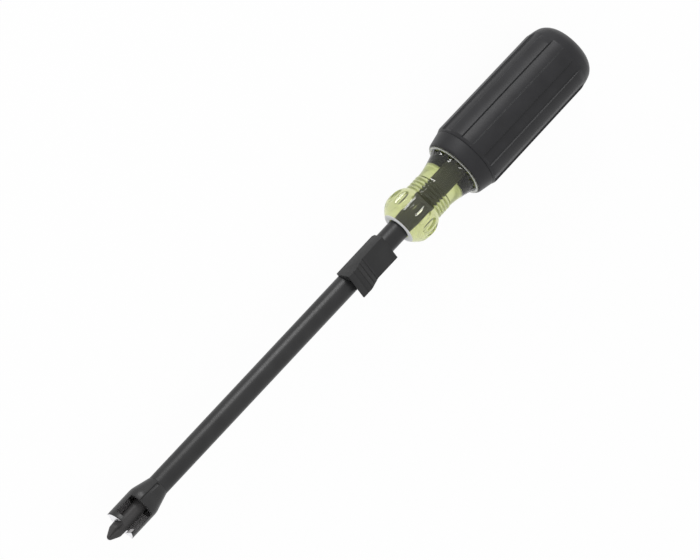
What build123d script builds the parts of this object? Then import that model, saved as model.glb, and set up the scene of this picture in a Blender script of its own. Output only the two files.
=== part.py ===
from build123d import *
import math
import os

# Cross-point screwdriver with a screw-holding cage on a sprung sliding barrel, in millimetres.
# X runs along the tool with the working tip at the origin and the handle at -X.
# Z points out of the thumb pad. Angles named "lean" turn from +Z towards +Y.

# Driver shaft and its cross point
shaft_diameter = 6.35
reach = 183.4
shaft_in_handle = 76.0
wing_span = 11.0
wing_thickness = 2.0
wing_length = 14.0
point_blunt_diameter = 2.3
point_blunt_length = 0.5
point_half_angle = 26.5
flute_core_radius = 0.75
flute_length = 8.5
flute_count = 4
flute_lean = -29.4

# Handle core, turned from a fluted bar
face_radius = 7.4
cap_length = 4.2
cap_radius = 11.1
cap_sag = 0.3
bulb_radius = 11.8
bulb_length = 15.3
bulb_shoulder_radius = 10.6
bulb_shoulder_length = 2.3
bulb_shoulder_sag = 0.25
bar_flute_count = 16
bar_flute_depth = 0.75
bar_ridge_width = 0.7
bar_flute_lean = 6.0
ring_count = 4
ring_pitch = 1.74
ring_root_radius = 8.5
ring_height = 0.75
cone_step = 0.25
cone_radius = 8.95
cone_hollow = 0.5
cone_end_radius = 11.95
flange_station = 34.9
flange_length = 0.5
flange_front_radius = 13.2
flange_radius = 13.6
core_radius = 12.4
core_corner_radius = 6.5
handle_length = 109.5

# Rubber grip sleeve
mouth_wall = 1.3
mouth_round_length = 1.2
mouth_round_sag = 0.08
mouth_round_wall = 1.81
nose_end_wall = 2.9
grip_wall = 3.0
panel_height = 0.63
panel_station = 42.2
panel_lead = 1.6
panel_tail = 2.0
taper_drop = 0.33
tail_drop = 0.5
panel_count = 8
channel_angle = 21.0
channel_inset = 0.8
channel_step = 0.06
channel_runout = 0.95
dome_length = 8.5
dome_drop = 1.3
dome_depth = 4.0
dome_sag = 0.15
dome_corner_drop = 5.5
dome_corner_depth = 3.6
dome_corner_sag = 0.48
grip_end_wall = 2.8
sleeve_gap = 0.03

# Barrel, its stop and its travel
barrel_diameter = 9.5
barrel_wall = 0.5
travel = 12.5
pocket_depth = 1.2
pocket_gap = 0.3
washer_thickness = 0.6
stop_washer_gap = 0.1

# Cage head
flare_station = 152.0
flare_length = 9.0
head_diameter = 14.4
head_length = 15.1
head_wall = 0.85
head_front_round = 0.35
spigot_length = 6.0
rim_thickness = 2.3
cage_depth = 10.3
window_length = 9.9
window_width = 11.6
window_lean = -24.0
lower_wall_setback = 1.3
slot_lean = -10.0
seam_width = 1.4
seam_depth = 0.55
seam_lean = -36.0
seam_start_inset = 0.6

# Bushings, spring and what holds them on the shaft
bushing_length = 7.5
rear_bushing_length = 7.0
spring_seat_station = 35.0
spring_seat_length = 4.0
spring_length = 37.5
spring_wire = 0.6
spring_turns = 13
arcs_per_turn = 2
collar_length = 4.0
clip_thickness = 0.8
clip_groove_depth = 0.5
clip_height = 0.65
clip_mouth_angle = 80.0
guide_pin_diameter = 2.0
guide_pin_station = 26.6
head_pin_diameter = 1.2
head_pin_inset = 3.0

# Thumb slide, a saddle on the barrel
slide_station = 9.75
slide_length = 23.4
slide_width = 12.2
slide_cheek_depth = 1.6
slide_web = 0.55
slide_rise = 2.6
ramp_start = 12.2
ramp_length = 6.0
slide_edge_round = 0.25
slide_heel_chamfer = 1.0
front_lip = 0.6
front_undercut_angle = 21.0
front_cheek_wall = 2.6
serration_count = 4
serration_pitch = 2.4
serration_depth = 0.3
serration_first = 13.1
rivet_diameter = 1.8
rivet_depth = 2.2
rivet_inset = 3.5
rivet_pitch = 3.2

# Clearances and the one overrun for cuts
running_gap = 0.05
press_gap = 0.01
free_gap = 0.35
moving_gap = 0.3
pin_gap = 0.15
overrun = 2.0

face_x = -reach
shaft_radius = shaft_diameter / 2
barrel_radius = barrel_diameter / 2
bore_radius = barrel_radius - barrel_wall
head_radius = head_diameter / 2
flare_x = face_x + flare_station
head_x = flare_x + flare_length
head_front = head_x + head_length
rim_x = head_front - rim_thickness
cage_x = rim_x - cage_depth
barrel_x = face_x - pocket_depth + washer_thickness
spring_seat_x = face_x + spring_seat_station
spring_x = spring_seat_x + spring_seat_length + washer_thickness
spring_end_x = spring_x + spring_length
collar_x = spring_end_x + washer_thickness
clip_x = collar_x + collar_length
guide_pin_x = face_x + guide_pin_station
slide_x = face_x + slide_station
slide_low_z = barrel_radius + slide_web
slide_high_z = slide_low_z + slide_rise
cage_radius = head_radius - head_wall
slot_half_width = shaft_radius + free_gap
flange_x = face_x - flange_station
shoulder_x = flange_x - flange_length
core_end_x = face_x - handle_length + grip_end_wall
shaft_end_x = face_x - shaft_in_handle


def rod(start, end, radius):
    return extrude(Plane.YZ.offset(start) * Circle(radius), amount=end - start)


def sleeve(start, end, outer, inner):
    return rod(start, end, outer) - rod(start - overrun, end + overrun, inner)


def turned(*edges):
    return revolve(make_face(Wire(list(edges))), Axis.X)


def leaned(shape, lean):
    return Rot(X=-lean) * shape


def block(start, end, half_width, low, high):
    box = Box(end - start, half_width * 2, high - low)
    return Pos(X=(start + end) / 2, Z=(low + high) / 2) * box


def closed_outline(points, sags):
    """Lines and arcs through the points and back along the axis, one sag for each step."""
    edges = []
    for start, end, sag in zip(points, points[1:], sags):
        edge = SagittaArc(start, end, -sag) if sag else Line(start, end)
        edges += edge.edges()
    edges += Line(points[-1], points[0]).edges()
    return edges


def shaft_blank(gap=0.0):
    """The shaft with its anchoring wings, or with a gap the cavity that they sit in."""
    body = rod(shaft_end_x - gap, 0, shaft_radius + gap)
    wing = block(
        shaft_end_x + wing_length / 2 - gap,
        shaft_end_x + wing_length * 3 / 2 + gap,
        wing_span / 2 + gap,
        -wing_thickness / 2 - gap,
        wing_thickness / 2 + gap,
    )
    return body + wing


def make_driver_shaft():
    blunt_radius = point_blunt_diameter / 2
    taper_length = (shaft_radius - blunt_radius) / math.tan(math.radians(point_half_angle))
    taper_x = -point_blunt_length - taper_length
    envelope = [(taper_x, shaft_radius), (taper_x, shaft_radius + overrun), (overrun, shaft_radius + overrun)]
    envelope += [(overrun, 0), (0, 0), (0, blunt_radius / 2), (-point_blunt_length, blunt_radius)]
    trim = revolve(make_face(Polyline(*envelope, close=True)), Axis.X)
    shaft = shaft_blank() - trim
    slope = math.degrees(math.atan2(shaft_radius - flute_core_radius, flute_length))
    side = shaft_diameter
    flute = Pos(Z=side / math.sqrt(2)) * (Rot(X=45) * Box(flute_length * 3, side, side))
    flute = Pos(Z=flute_core_radius) * (Rot(Y=slope) * flute)
    for index in range(flute_count):
        shaft -= leaned(flute, flute_lean + index * 360 / flute_count)
    groove = sleeve(clip_x, clip_x + clip_thickness, shaft_radius + overrun, shaft_radius - clip_groove_depth)
    shaft -= groove
    shaft -= guide_pin_blank(press_gap)
    return shaft


def guide_pin_blank(gap=0.0):
    half = bore_radius + barrel_wall / 2
    pin = Cylinder(guide_pin_diameter / 2 + gap, half * 2 + gap * 2)
    return Pos(X=guide_pin_x) * (Rot(X=90) * pin)


def core_blank(gap=0.0):
    """The part of the core that the grip covers, or with a gap the grip's bore."""
    radius = core_radius + gap
    end = core_end_x - gap
    body = rod(end, shoulder_x, radius)
    rim_edges = body.edges().filter_by(GeomType.CIRCLE).sort_by(Axis.X)
    return fillet(rim_edges[0], core_corner_radius)


def make_handle_core():
    bulb_end = face_x - bulb_length
    points = [
        (face_x, 0),
        (face_x, face_radius),
        (face_x - cap_length, cap_radius),
        (bulb_end + bulb_shoulder_length, bulb_shoulder_radius),
        (bulb_end, ring_root_radius),
    ]
    crown_sag = bulb_radius - (cap_radius + bulb_shoulder_radius) / 2
    sags = [0, cap_sag, crown_sag, bulb_shoulder_sag]
    for index in range(ring_count):
        points.append((bulb_end - (index + 1) * ring_pitch, ring_root_radius))
        sags.append(ring_height)
    points += [
        (points[-1][0] - cone_step, cone_radius),
        (flange_x, cone_end_radius),
        (flange_x, flange_front_radius),
        (shoulder_x, flange_radius),
        (shoulder_x, core_radius),
        (shoulder_x - overrun, core_radius),
        (shoulder_x - overrun, 0),
    ]
    sags += [0, -cone_hollow, 0, 0, 0, 0, 0]
    nose = turned(*closed_outline(points, sags))
    half_flute = math.pi * bulb_radius / bar_flute_count - bar_ridge_width / 2
    cutter_radius = (half_flute**2 + bar_flute_depth**2) / (2 * bar_flute_depth)
    cutter_centre = bulb_radius + cutter_radius - bar_flute_depth
    cutter = Pos(Z=cutter_centre) * rod(flange_x, face_x, cutter_radius)
    for index in range(bar_flute_count):
        nose -= leaned(cutter, (index + 0.5) * 360 / bar_flute_count + bar_flute_lean)
    core = nose + core_blank()
    core -= rod(face_x - pocket_depth, face_x + overrun, barrel_radius + pocket_gap)
    core -= shaft_blank(press_gap)
    return core


def make_grip_sleeve():
    mouth_x = shoulder_x - sleeve_gap
    panel_x = face_x - panel_station
    end_x = face_x - handle_length
    tail_x = end_x + dome_length
    corner_x = tail_x - dome_depth - dome_corner_depth
    crown = corner_x - end_x
    nose_end_radius = core_radius + nose_end_wall
    channel_floor_radius = core_radius + grip_wall
    outer = channel_floor_radius + panel_height
    channel_x = panel_x - channel_inset
    lead_slope = (outer - nose_end_radius) / panel_lead
    runout_radius = nose_end_radius + lead_slope * channel_inset - channel_step
    dome_corner_radius = channel_floor_radius - dome_corner_drop
    crown_ball = (dome_corner_radius**2 + crown**2) / (2 * crown)
    crown_sag = crown_ball * (1 - math.cos(math.asin(dome_corner_radius / crown_ball) / 2))
    points = [
        (mouth_x, 0),
        (mouth_x, core_radius + mouth_wall),
        (mouth_x - mouth_round_length, core_radius + mouth_round_wall),
        (panel_x, nose_end_radius),
        (channel_x, runout_radius),
        (channel_x - channel_runout, channel_floor_radius),
        (tail_x, channel_floor_radius - taper_drop),
        (tail_x - dome_depth, channel_floor_radius - dome_drop),
        (corner_x, dome_corner_radius),
        (end_x, 0),
    ]
    sags = [0, mouth_round_sag, 0, 0, 0, 0, dome_sag, dome_corner_sag, crown_sag]
    grip = turned(*closed_outline(points, sags))
    panel_points = [
        (panel_x, core_radius),
        (panel_x, nose_end_radius),
        (panel_x - panel_lead, outer),
        (tail_x + panel_tail, outer - taper_drop),
        (tail_x, outer - taper_drop - tail_drop),
        (tail_x, core_radius),
    ]
    panels = turned(*closed_outline(panel_points, [0, 0, 0, 0, 0]))
    channel_end = tail_x - overrun
    half_chord = (outer + overrun) * math.tan(math.radians(channel_angle / 2))
    corners = [(0, 0), (-half_chord, outer + overrun), (half_chord, outer + overrun)]
    wedge = extrude(Plane.YZ.offset(channel_end) * make_face(Polyline(*corners, close=True)),
                    amount=channel_x - channel_end)
    for index in range(panel_count):
        panels -= leaned(wedge, index * 360 / panel_count)
    grip += panels
    grip -= core_blank(sleeve_gap)
    return grip


def make_stop_washer():
    start = face_x - pocket_depth
    outer = barrel_radius + pocket_gap - stop_washer_gap
    return sleeve(start, start + washer_thickness, outer, shaft_radius + stop_washer_gap)


def make_barrel_tube():
    tube = sleeve(barrel_x, flare_x, barrel_radius, bore_radius)
    pin_radius = guide_pin_diameter / 2 + pin_gap
    slot = block(guide_pin_x - travel, guide_pin_x, barrel_radius + overrun, -pin_radius, pin_radius)
    for end_x in (guide_pin_x - travel, guide_pin_x):
        slot += Pos(X=end_x) * (Rot(X=90) * Cylinder(pin_radius, (barrel_radius + overrun) * 2))
    tube -= slot
    tube -= rivet_blanks(press_gap)
    tube -= head_pin_blank(press_gap)
    return tube


def make_cage_head():
    spigot_x = flare_x - spigot_length
    points = [
        (spigot_x, 0),
        (spigot_x, bore_radius - press_gap),
        (flare_x, bore_radius - press_gap),
        (flare_x, barrel_radius),
        (head_x, head_radius),
        (head_front - head_front_round, head_radius),
        (head_front, head_radius - head_front_round),
        (head_front, 0),
    ]
    head = turned(*closed_outline(points, [0, 0, 0, 0, 0, 0, 0]))
    seat_x = flare_x + (cage_x - flare_x - bushing_length) / 2
    head -= rod(spigot_x - overrun, cage_x, shaft_radius + free_gap)
    head -= rod(seat_x, cage_x, bushing_radius())
    head -= rod(cage_x, rim_x, cage_radius)
    window = block(rim_x - window_length, rim_x, window_width / 2, 0, head_radius + overrun)
    lower = block(head_front - lower_wall_setback, head_front + overrun, head_radius + overrun,
                  -head_radius - overrun, 0)
    head -= leaned(window, window_lean)
    head -= leaned(lower, window_lean)
    slot = block(rim_x - overrun, head_front + overrun, slot_half_width, 0, head_radius + overrun)
    slot += rod(rim_x - overrun, head_front + overrun, slot_half_width)
    head -= leaned(slot, slot_lean)
    slope = math.atan2(head_radius - barrel_radius, flare_length)
    run = flare_length / math.cos(slope)
    seam = block(seam_start_inset, run, seam_width / 2, -seam_depth, overrun)
    seam = Pos(X=flare_x, Z=barrel_radius) * (Rot(Y=-math.degrees(slope)) * seam)
    seam += block(head_x - seam_depth, rim_x - window_length, seam_width / 2, head_radius - seam_depth,
                  head_radius + overrun)
    head -= leaned(seam, seam_lean)
    head -= head_pin_blank(press_gap)
    return head


def bushing_radius():
    return shaft_radius + free_gap + barrel_wall


def make_front_bushing():
    start = flare_x + (cage_x - flare_x - bushing_length) / 2
    return sleeve(start, start + bushing_length, bushing_radius() - press_gap, shaft_radius + running_gap)


def make_rear_bushing():
    end = barrel_x + rear_bushing_length
    return sleeve(barrel_x, end, bore_radius - press_gap, shaft_radius + running_gap)


def make_spring_seat():
    end = spring_seat_x + spring_seat_length
    return sleeve(spring_seat_x, end, bore_radius - press_gap, shaft_radius + running_gap)


def spring_washer(start):
    return sleeve(start, start + washer_thickness, bore_radius - moving_gap, shaft_radius + running_gap)


def make_spring_collar():
    return sleeve(collar_x, collar_x + collar_length, bore_radius - moving_gap, shaft_radius + press_gap)


def make_collar_clip():
    outer = shaft_radius + clip_height
    ring = sleeve(clip_x, clip_x + clip_thickness, outer, shaft_radius - clip_groove_depth + press_gap)
    half = (outer + overrun) * math.tan(math.radians(clip_mouth_angle / 2))
    corners = [(0, 0), (-half, outer + overrun), (half, outer + overrun)]
    mouth = extrude(Plane.YZ.offset(clip_x - overrun) * make_face(Polyline(*corners, close=True)),
                    amount=clip_thickness + overrun * 2)
    return ring - mouth


def spring_point(turn, radius, start, pitch):
    angle = math.tau * turn
    return Vector(start + pitch * turn, radius * math.cos(angle), radius * math.sin(angle))


def spring_tangent(turn, radius, pitch):
    angle = math.tau * turn
    around = math.tau * radius
    return Vector(pitch, -around * math.sin(angle), around * math.cos(angle)).normalized()


def make_return_spring():
    """One unbroken wire, each half turn two arcs that meet with one tangent."""
    radius = (bore_radius + shaft_radius) / 2
    wire_radius = spring_wire / 2
    start = spring_x + wire_radius + running_gap
    pitch = (spring_length - spring_wire - running_gap * 2) / spring_turns
    edges = []
    samples = []
    for step in range(spring_turns * arcs_per_turn):
        first = step / arcs_per_turn
        last = (step + 1) / arcs_per_turn
        begin = spring_point(first, radius, start, pitch)
        end = spring_point(last, radius, start, pitch)
        leave = spring_tangent(first, radius, pitch)
        arrive = spring_tangent(last, radius, pitch)
        chord = end - begin
        both = chord.dot(leave + arrive)
        spread = 2 * (1 - leave.dot(arrive))
        handle = (math.sqrt(both**2 + spread * chord.dot(chord)) - both) / spread
        knee = begin + leave * handle
        elbow = end - arrive * handle
        joint = (knee + elbow) / 2
        edges.append(TangentArc(begin, joint, tangent=leave).edge())
        edges.append(TangentArc(joint, end, tangent=elbow - knee).edge())
        samples += [edges[-2].position_at(0.5), joint, edges[-1].position_at(0.5), end]
    per_turn = 4 * arcs_per_turn
    gaps = [(far - near).length - spring_wire for near, far in zip(samples, samples[per_turn:])]
    print("return spring, least gap between turns:", round(min(gaps), 3))
    section = Plane(origin=edges[0].position_at(0), z_dir=edges[0].tangent_at(0)) * Circle(wire_radius)
    return sweep(section, path=Wire(edges))


def make_thumb_slide():
    end = slide_x + slide_length
    outline = [
        (slide_x + slide_heel_chamfer, -slide_cheek_depth),
        (end, -slide_cheek_depth),
        (end, slide_high_z),
        (slide_x + ramp_start + ramp_length, slide_high_z),
        (slide_x + ramp_start, slide_low_z),
        (slide_x, slide_low_z),
        (slide_x, -slide_cheek_depth + slide_heel_chamfer),
    ]
    face = Plane.XZ.offset(-slide_width / 2) * make_face(Polyline(*outline, close=True))
    body = extrude(face, amount=slide_width)
    long_edges = body.edges().filter_by(lambda edge: edge.center().Z > barrel_radius)
    body = fillet(long_edges, slide_edge_round)
    side = serration_depth * math.sqrt(2)
    for index in range(serration_count):
        along = serration_first + index * serration_pitch
        rise = min(max((along - ramp_start) / ramp_length, 0), 1)
        tooth = Rot(Y=45) * Box(side, slide_width + overrun, side)
        body -= Pos(X=slide_x + along, Z=slide_low_z + slide_rise * rise) * tooth
    body -= front_undercut(end)
    body -= rod(slide_x - overrun, end + overrun, barrel_radius + press_gap)
    body -= rivet_blanks(press_gap)
    return body


def front_undercut(end):
    """A wedge that leans the front end back below its lip, past the whole cheek on the -Y side."""
    top = slide_high_z - front_lip
    low = -slide_cheek_depth - overrun
    depth = (top - low) * math.tan(math.radians(front_undercut_angle))
    corners = [(end, top), (end + overrun, top), (end + overrun, low), (end - depth, low)]
    wedge = extrude(Plane.XZ * make_face(Polyline(*corners, close=True)), amount=slide_width)
    return Pos(Y=slide_width / 2 + front_cheek_wall) * wedge


def rivet_blanks(gap=0.0):
    """Two rods from the axis into the thick end of the slide, or with a gap the rivets' holes."""
    blanks = []
    height = barrel_radius + rivet_depth + gap
    for index in range(2):
        x = slide_x + slide_length - rivet_inset - index * rivet_pitch
        blanks.append(Pos(X=x, Z=height / 2) * Cylinder(rivet_diameter / 2 + gap, height))
    return Compound(blanks)


def make_slide_rivets():
    """Blind rivets, flush with the bore of the barrel."""
    bore = rod(slide_x, slide_x + slide_length, bore_radius)
    return Compound([blank - bore for blank in rivet_blanks().solids()])


def head_pin_blank(gap=0.0):
    """One rod right across the barrel, or with a gap the hole of both head pins."""
    pin = Cylinder(head_pin_diameter / 2 + gap, (barrel_radius + overrun) * 2)
    return Pos(X=flare_x - head_pin_inset) * (Rot(X=90) * pin)


def make_head_pins():
    """Two pins through the barrel and the head's spigot, flush inside and out."""
    walls = sleeve(flare_x - spigot_length, flare_x, barrel_radius, shaft_radius + free_gap)
    return Compound((head_pin_blank() & walls).solids())


nodes = {
    "driver_shaft": make_driver_shaft(),
    "handle_core": make_handle_core(),
    "grip_sleeve": make_grip_sleeve(),
    "stop_washer": make_stop_washer(),
    "guide_pin": guide_pin_blank(),
    "front_spring_washer": spring_washer(spring_end_x),
    "spring_collar": make_spring_collar(),
    "collar_clip": make_collar_clip(),
    "return_spring": make_return_spring(),
    "barrel_tube": make_barrel_tube(),
    "cage_head": make_cage_head(),
    "front_bushing": make_front_bushing(),
    "rear_bushing": make_rear_bushing(),
    "spring_seat": make_spring_seat(),
    "rear_spring_washer": spring_washer(spring_x - washer_thickness),
    "thumb_slide": make_thumb_slide(),
    "slide_rivets": make_slide_rivets(),
    "head_pins": make_head_pins(),
}

os.makedirs("parts", exist_ok=True)
for name, shape in nodes.items():
    export_step(shape, f"parts/{name}.step")
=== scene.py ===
import bmesh
import bpy
import math
from mathutils import Matrix, Vector


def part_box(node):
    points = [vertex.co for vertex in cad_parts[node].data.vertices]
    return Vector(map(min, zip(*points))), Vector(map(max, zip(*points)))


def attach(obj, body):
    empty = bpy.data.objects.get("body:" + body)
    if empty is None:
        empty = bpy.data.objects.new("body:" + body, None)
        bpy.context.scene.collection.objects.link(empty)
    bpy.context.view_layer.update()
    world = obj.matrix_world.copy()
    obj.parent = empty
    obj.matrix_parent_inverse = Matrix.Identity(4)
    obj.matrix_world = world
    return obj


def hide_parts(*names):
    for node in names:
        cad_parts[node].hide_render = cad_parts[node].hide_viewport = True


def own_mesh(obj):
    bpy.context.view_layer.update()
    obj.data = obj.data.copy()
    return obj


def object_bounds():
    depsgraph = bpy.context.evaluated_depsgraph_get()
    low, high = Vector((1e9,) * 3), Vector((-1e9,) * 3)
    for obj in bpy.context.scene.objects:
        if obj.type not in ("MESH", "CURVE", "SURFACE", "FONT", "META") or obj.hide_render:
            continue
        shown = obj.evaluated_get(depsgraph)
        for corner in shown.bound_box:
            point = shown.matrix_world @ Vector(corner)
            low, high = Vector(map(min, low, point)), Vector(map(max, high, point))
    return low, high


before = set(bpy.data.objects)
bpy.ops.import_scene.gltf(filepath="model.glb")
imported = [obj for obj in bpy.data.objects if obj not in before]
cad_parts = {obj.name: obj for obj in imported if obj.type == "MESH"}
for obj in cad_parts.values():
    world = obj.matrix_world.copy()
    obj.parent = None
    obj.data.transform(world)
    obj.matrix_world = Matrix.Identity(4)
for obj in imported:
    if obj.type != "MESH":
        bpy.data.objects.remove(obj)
cadLow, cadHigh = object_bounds()
scene = bpy.context.scene
mm = 0.001  # sizes in the dictionaries are millimetres, the scene is in metres

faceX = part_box("handle_core")[1].x  # front face of the clear handle
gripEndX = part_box("grip_sleeve")[0].x
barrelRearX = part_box("barrel_tube")[0].x
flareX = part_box("barrel_tube")[1].x
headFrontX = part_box("cage_head")[1].x
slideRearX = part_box("thumb_slide")[0].x
springLow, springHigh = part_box("return_spring")
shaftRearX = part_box("driver_shaft")[0].x
print("frame loaded, overall length", round((cadHigh.x - cadLow.x) / mm, 1), "mm")


# mesh helpers


def meshObject(name, points, faces):
    mesh = bpy.data.meshes.new(name)
    mesh.from_pydata(points, [], faces)
    piece = bpy.data.objects.new(name, mesh)
    scene.collection.objects.link(piece)
    return piece


def faceOutwards(piece):
    work = bmesh.new()
    work.from_mesh(piece.data)
    bmesh.ops.remove_doubles(work, verts=work.verts, dist=1e-7)
    bmesh.ops.recalc_face_normals(work, faces=work.faces)
    work.to_mesh(piece.data)
    work.free()


def smoothShade(piece, degrees):
    piece.data.shade_smooth()
    piece.data.set_sharp_from_angle(angle=math.radians(degrees))


def settle(piece):
    # the evaluated shape becomes the mesh, and the modifiers go
    evaluated = piece.evaluated_get(bpy.context.evaluated_depsgraph_get())
    mesh = bpy.data.meshes.new_from_object(evaluated)
    piece.modifiers.clear()
    old = piece.data
    piece.data = mesh
    mesh.name = piece.name
    bpy.data.meshes.remove(old)


def combine(piece, tool, operation="DIFFERENCE"):
    cutting = piece.modifiers.new("cut", "BOOLEAN")
    cutting.operation = operation
    cutting.solver = "EXACT"
    cutting.object = tool
    settle(piece)
    bpy.data.objects.remove(tool)


def roundEdges(piece, width, segments, degrees):
    edge = piece.modifiers.new("edges", "BEVEL")
    edge.width = width * mm
    edge.segments = segments
    edge.limit_method = "ANGLE"
    edge.angle_limit = math.radians(degrees)
    settle(piece)


def arcPoints(start, end, sag, spacing=0.35):
    # points after start up to end, on an arc that bulges away from the axis by sag
    dx, dr = end[0] - start[0], end[1] - start[1]
    chord = math.hypot(dx, dr)
    if not sag:
        return [end]
    radius = (chord * chord / 4 + sag * sag) / (2 * sag)
    outX, outR = -dr / chord, dx / chord
    centreX = (start[0] + end[0]) / 2 + outX * (sag - radius)
    centreR = (start[1] + end[1]) / 2 + outR * (sag - radius)
    first = math.atan2(start[1] - centreR, start[0] - centreX)
    last = math.atan2(end[1] - centreR, end[0] - centreX)
    turn = (last - first + math.pi) % math.tau - math.pi
    count = max(4, math.ceil(abs(turn * radius) / spacing))
    return [
        (centreX + abs(radius) * math.cos(first + turn * i / count),
         centreR + abs(radius) * math.sin(first + turn * i / count))
        for i in range(1, count)
    ] + [end]


# a rounding takes at most edgeShare of an edge beside another one, and plain points
# nearer a rounded corner than clearShare of its rounding are left out
cornerRule = {"edgeShare": 0.49, "clearShare": 0.98, "steps": 5}


def outline(steps, closed=False):
    # steps of (station, radius, sag of the way there, rounding of the corner)
    line = [(steps[0][0], steps[0][1])]
    corners = [steps[0][3]]
    for station, radius, sag, rounding in steps[1:]:
        reached = arcPoints(line[-1], (station, radius), sag)
        line += reached
        corners += [0] * (len(reached) - 1) + [rounding]
    soft = []
    count = len(line)
    for i, (point, rounding) in enumerate(zip(line, corners)):
        inner = closed or 0 < i < count - 1
        if not rounding or not inner:
            near = False
            for j in (i - 1, (i + 1) % count):
                if corners[j] and math.dist(point, line[j]) < corners[j] * cornerRule["clearShare"]:
                    near = True
            if not near:
                soft.append(point)
            continue
        ways = []
        for other in (line[i - 1], line[(i + 1) % count]):
            length = math.dist(point, other)
            shared = corners[line.index(other)]
            reach = min(rounding, length * cornerRule["edgeShare"] if shared else length)
            ways.append((point[0] + (other[0] - point[0]) * reach / length,
                         point[1] + (other[1] - point[1]) * reach / length))
        for step in range(cornerRule["steps"] + 1):
            share = step / cornerRule["steps"]
            a, b, c = (1 - share) ** 2, 2 * share * (1 - share), share ** 2
            soft.append((a * ways[0][0] + b * point[0] + c * ways[1][0],
                         a * ways[0][1] + b * point[1] + c * ways[1][1]))
    return soft


def finer(line, spacing, start, end):
    # extra points between the two stations, so that no step there is longer than spacing
    full = [line[0]]
    for point in line[1:]:
        last = full[-1]
        length = math.dist(last, point)
        middle = (last[0] + point[0]) / 2
        count = math.ceil(length / spacing) if start < middle < end else 1
        for i in range(1, count + 1):
            share = i / count
            full.append((last[0] + (point[0] - last[0]) * share, last[1] + (point[1] - last[1]) * share))
    return full


def turned(name, line, angles, closed=False, originX=faceX):
    # the line turned about the tool's axis; stations run back from originX
    points, rings, faces = [], [], []
    count = len(angles)
    for station, radius in line:
        x = originX - station * mm
        if radius < 1e-6:
            rings.append([len(points)] * count)
            points.append((x, 0, 0))
            continue
        rings.append(list(range(len(points), len(points) + count)))
        points += [(x, radius * mm * math.sin(a), radius * mm * math.cos(a)) for a in angles]
    pairs = list(zip(rings, rings[1:]))
    if closed:
        pairs.append((rings[-1], rings[0]))
    for near, far in pairs:
        for i in range(count):
            j = (i + 1) % count
            corners = list(dict.fromkeys((near[i], near[j], far[j], far[i])))
            if len(corners) > 2:
                faces.append(corners)
    piece = meshObject(name, points, faces)
    faceOutwards(piece)
    return piece


def evenAngles(count):
    return [math.tau * i / count for i in range(count)]


def blockTool(low, high, lean=0.0):
    corners = [(x, y, z) for x in (low[0], high[0]) for y in (low[1], high[1]) for z in (low[2], high[2])]
    faces = [(0, 1, 3, 2), (4, 6, 7, 5), (0, 4, 5, 1), (2, 3, 7, 6), (0, 2, 6, 4), (1, 5, 7, 3)]
    tool = meshObject("tool", corners, faces)
    tool.data.transform(Matrix.Rotation(math.radians(-lean), 4, "X"))
    faceOutwards(tool)
    return tool


def rodTool(start, end, radius, direction="X", segments=96):
    work = bmesh.new()
    bmesh.ops.create_cone(work, cap_ends=True, segments=segments, radius1=radius, radius2=radius,
                          depth=end - start)
    mesh = bpy.data.meshes.new("tool")
    work.to_mesh(mesh)
    work.free()
    tool = bpy.data.objects.new("tool", mesh)
    scene.collection.objects.link(tool)
    mesh.transform(Matrix.Translation((0, 0, (start + end) / 2)))
    if direction == "X":
        mesh.transform(Matrix.Rotation(math.pi / 2, 4, "Y"))
    if direction == "Y":
        mesh.transform(Matrix.Rotation(-math.pi / 2, 4, "X"))
    return tool


def crosswise(name, line, low, high):
    # an outline of places from the slide's rear and heights, drawn out across the tool
    points = [(slideRearX + x * mm, side * mm, z * mm) for side in (low, high) for x, z in line]
    count = len(line)
    faces = [tuple(range(count)), tuple(range(count, count * 2))]
    faces += [(i, (i + 1) % count, (i + 1) % count + count, i + count) for i in range(count)]
    piece = meshObject(name, points, faces)
    faceOutwards(piece)
    return piece


def dress(piece, lookName, body, slotName, *nodes):
    piece.data.materials.clear()
    piece.data.materials.append(looks[lookName])
    for polygon in piece.data.polygons:
        polygon.material_index = 0
    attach(piece, body)
    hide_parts(*nodes)
    print(piece.name, "made,", len(piece.data.polygons), "faces")


# material helpers


def plug(tree, socket, value):
    # links another node's output, or sets a plain number
    if isinstance(value, bpy.types.NodeSocket):
        tree.links.new(value, socket)
    else:
        socket.default_value = value


def newMaterial(name):
    material = bpy.data.materials.new(name)
    material.use_nodes = True
    return material, material.node_tree, material.node_tree.nodes["Principled BSDF"]


def noiseOn(tree, scale, detail=3.0, stretch=(1, 1, 1)):
    place = tree.nodes.new("ShaderNodeTexCoord")
    mapping = tree.nodes.new("ShaderNodeMapping")
    mapping.inputs["Scale"].default_value = stretch
    noise = tree.nodes.new("ShaderNodeTexNoise")
    noise.inputs["Scale"].default_value = scale
    noise.inputs["Detail"].default_value = detail
    tree.links.new(place.outputs["Object"], mapping.inputs["Vector"])
    tree.links.new(mapping.outputs["Vector"], noise.inputs["Vector"])
    return noise.outputs["Fac"]


def ranged(tree, value, low, high, fromLow=0.3, fromHigh=0.7, curve="LINEAR"):
    node = tree.nodes.new("ShaderNodeMapRange")
    node.interpolation_type = curve
    for name, given in (("Value", value), ("From Min", fromLow), ("From Max", fromHigh), ("To Min", low),
                        ("To Max", high)):
        plug(tree, node.inputs[name], given)
    return node.outputs["Result"]


def joined(tree, operation, *values):
    node = tree.nodes.new("ShaderNodeMath")
    node.operation = operation
    node.use_clamp = True
    for socket, value in zip(node.inputs, values):
        plug(tree, socket, value)
    return node.outputs[0]


def colourBetween(tree, share, first, second):
    # each of the two is a fixed colour or comes from another node
    node = tree.nodes.new("ShaderNodeMix")
    node.data_type = "RGBA"
    tree.links.new(share, node.inputs["Factor"])
    for socket, colour in ((node.inputs["A"], first), (node.inputs["B"], second)):
        plug(tree, socket, (*colour, 1) if isinstance(colour, tuple) else colour)
    return node.outputs["Result"]


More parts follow.
